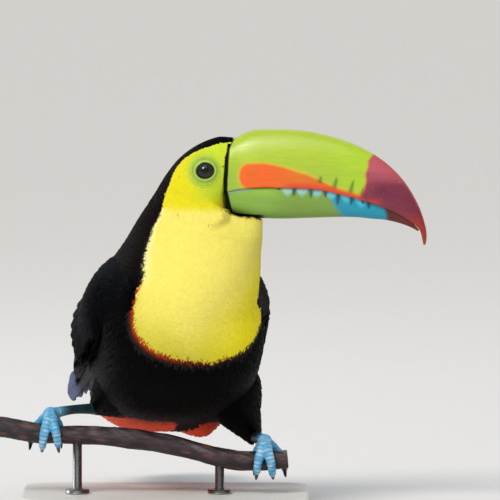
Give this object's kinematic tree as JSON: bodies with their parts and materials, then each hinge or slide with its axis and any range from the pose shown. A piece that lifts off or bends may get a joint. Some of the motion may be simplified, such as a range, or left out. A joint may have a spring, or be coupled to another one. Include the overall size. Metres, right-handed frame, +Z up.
{
  "type": "keel-billed toucan",
  "caption": "Life-size keel-billed toucan gripping a short cut branch, head turned to show its large curved bill, held on rods above a flat display base.",
  "frame": {"origin": "centre of the underside of the stand's base", "axes": "+Z up; the bird's breast faces -Y, the front; its bill points along +X, to its own left; its tail points along +Y"},
  "size_m": [0.2902, 0.2965, 0.2533],
  "materials": {
    "plumage_black": "glossy black contour feathers with a maroon and blue sheen",
    "plumage_yellow": "soft yellow face and bib feathers, black crown and nape",
    "bill_upper": "satin horn, green with an orange blaze and a crimson tip",
    "bill_lower": "satin horn, green running to blue with a crimson tip",
    "eye": "wet dark brown eye",
    "leg_skin": "sky blue scaled skin",
    "claw": "dark grey horn",
    "bark": "dark purple-brown smooth bark",
    "stand_wood": "satin off-white painted wood",
    "stand_steel": "brushed steel"
  },
  "bodies": {
    "root": {"head": "plumage_yellow", "neck": "plumage_yellow", "trunk": "plumage_black", "tail": "plumage_black", "wing_right": "plumage_black", "wing_left": "plumage_black", "thigh_right": "plumage_black", "thigh_left": "plumage_black", "bill_upper": "bill_upper", "bill_lower": "bill_lower", "eye_right": "eye", "eye_left": "eye", "tarsus_right": "leg_skin", "foot_right": "leg_skin", "claw_right_inner": "claw", "claw_right_middle": "claw", "claw_right_outer": "claw", "claw_right_hind": "claw", "tarsus_left": "leg_skin", "foot_left": "leg_skin", "claw_left_inner": "claw", "claw_left_middle": "claw", "claw_left_outer": "claw", "claw_left_hind": "claw", "perch": "bark", "stand_base": "stand_wood", "stand_rod_right": "stand_steel", "stand_rod_left": "stand_steel"}
  },
  "joints": []
}
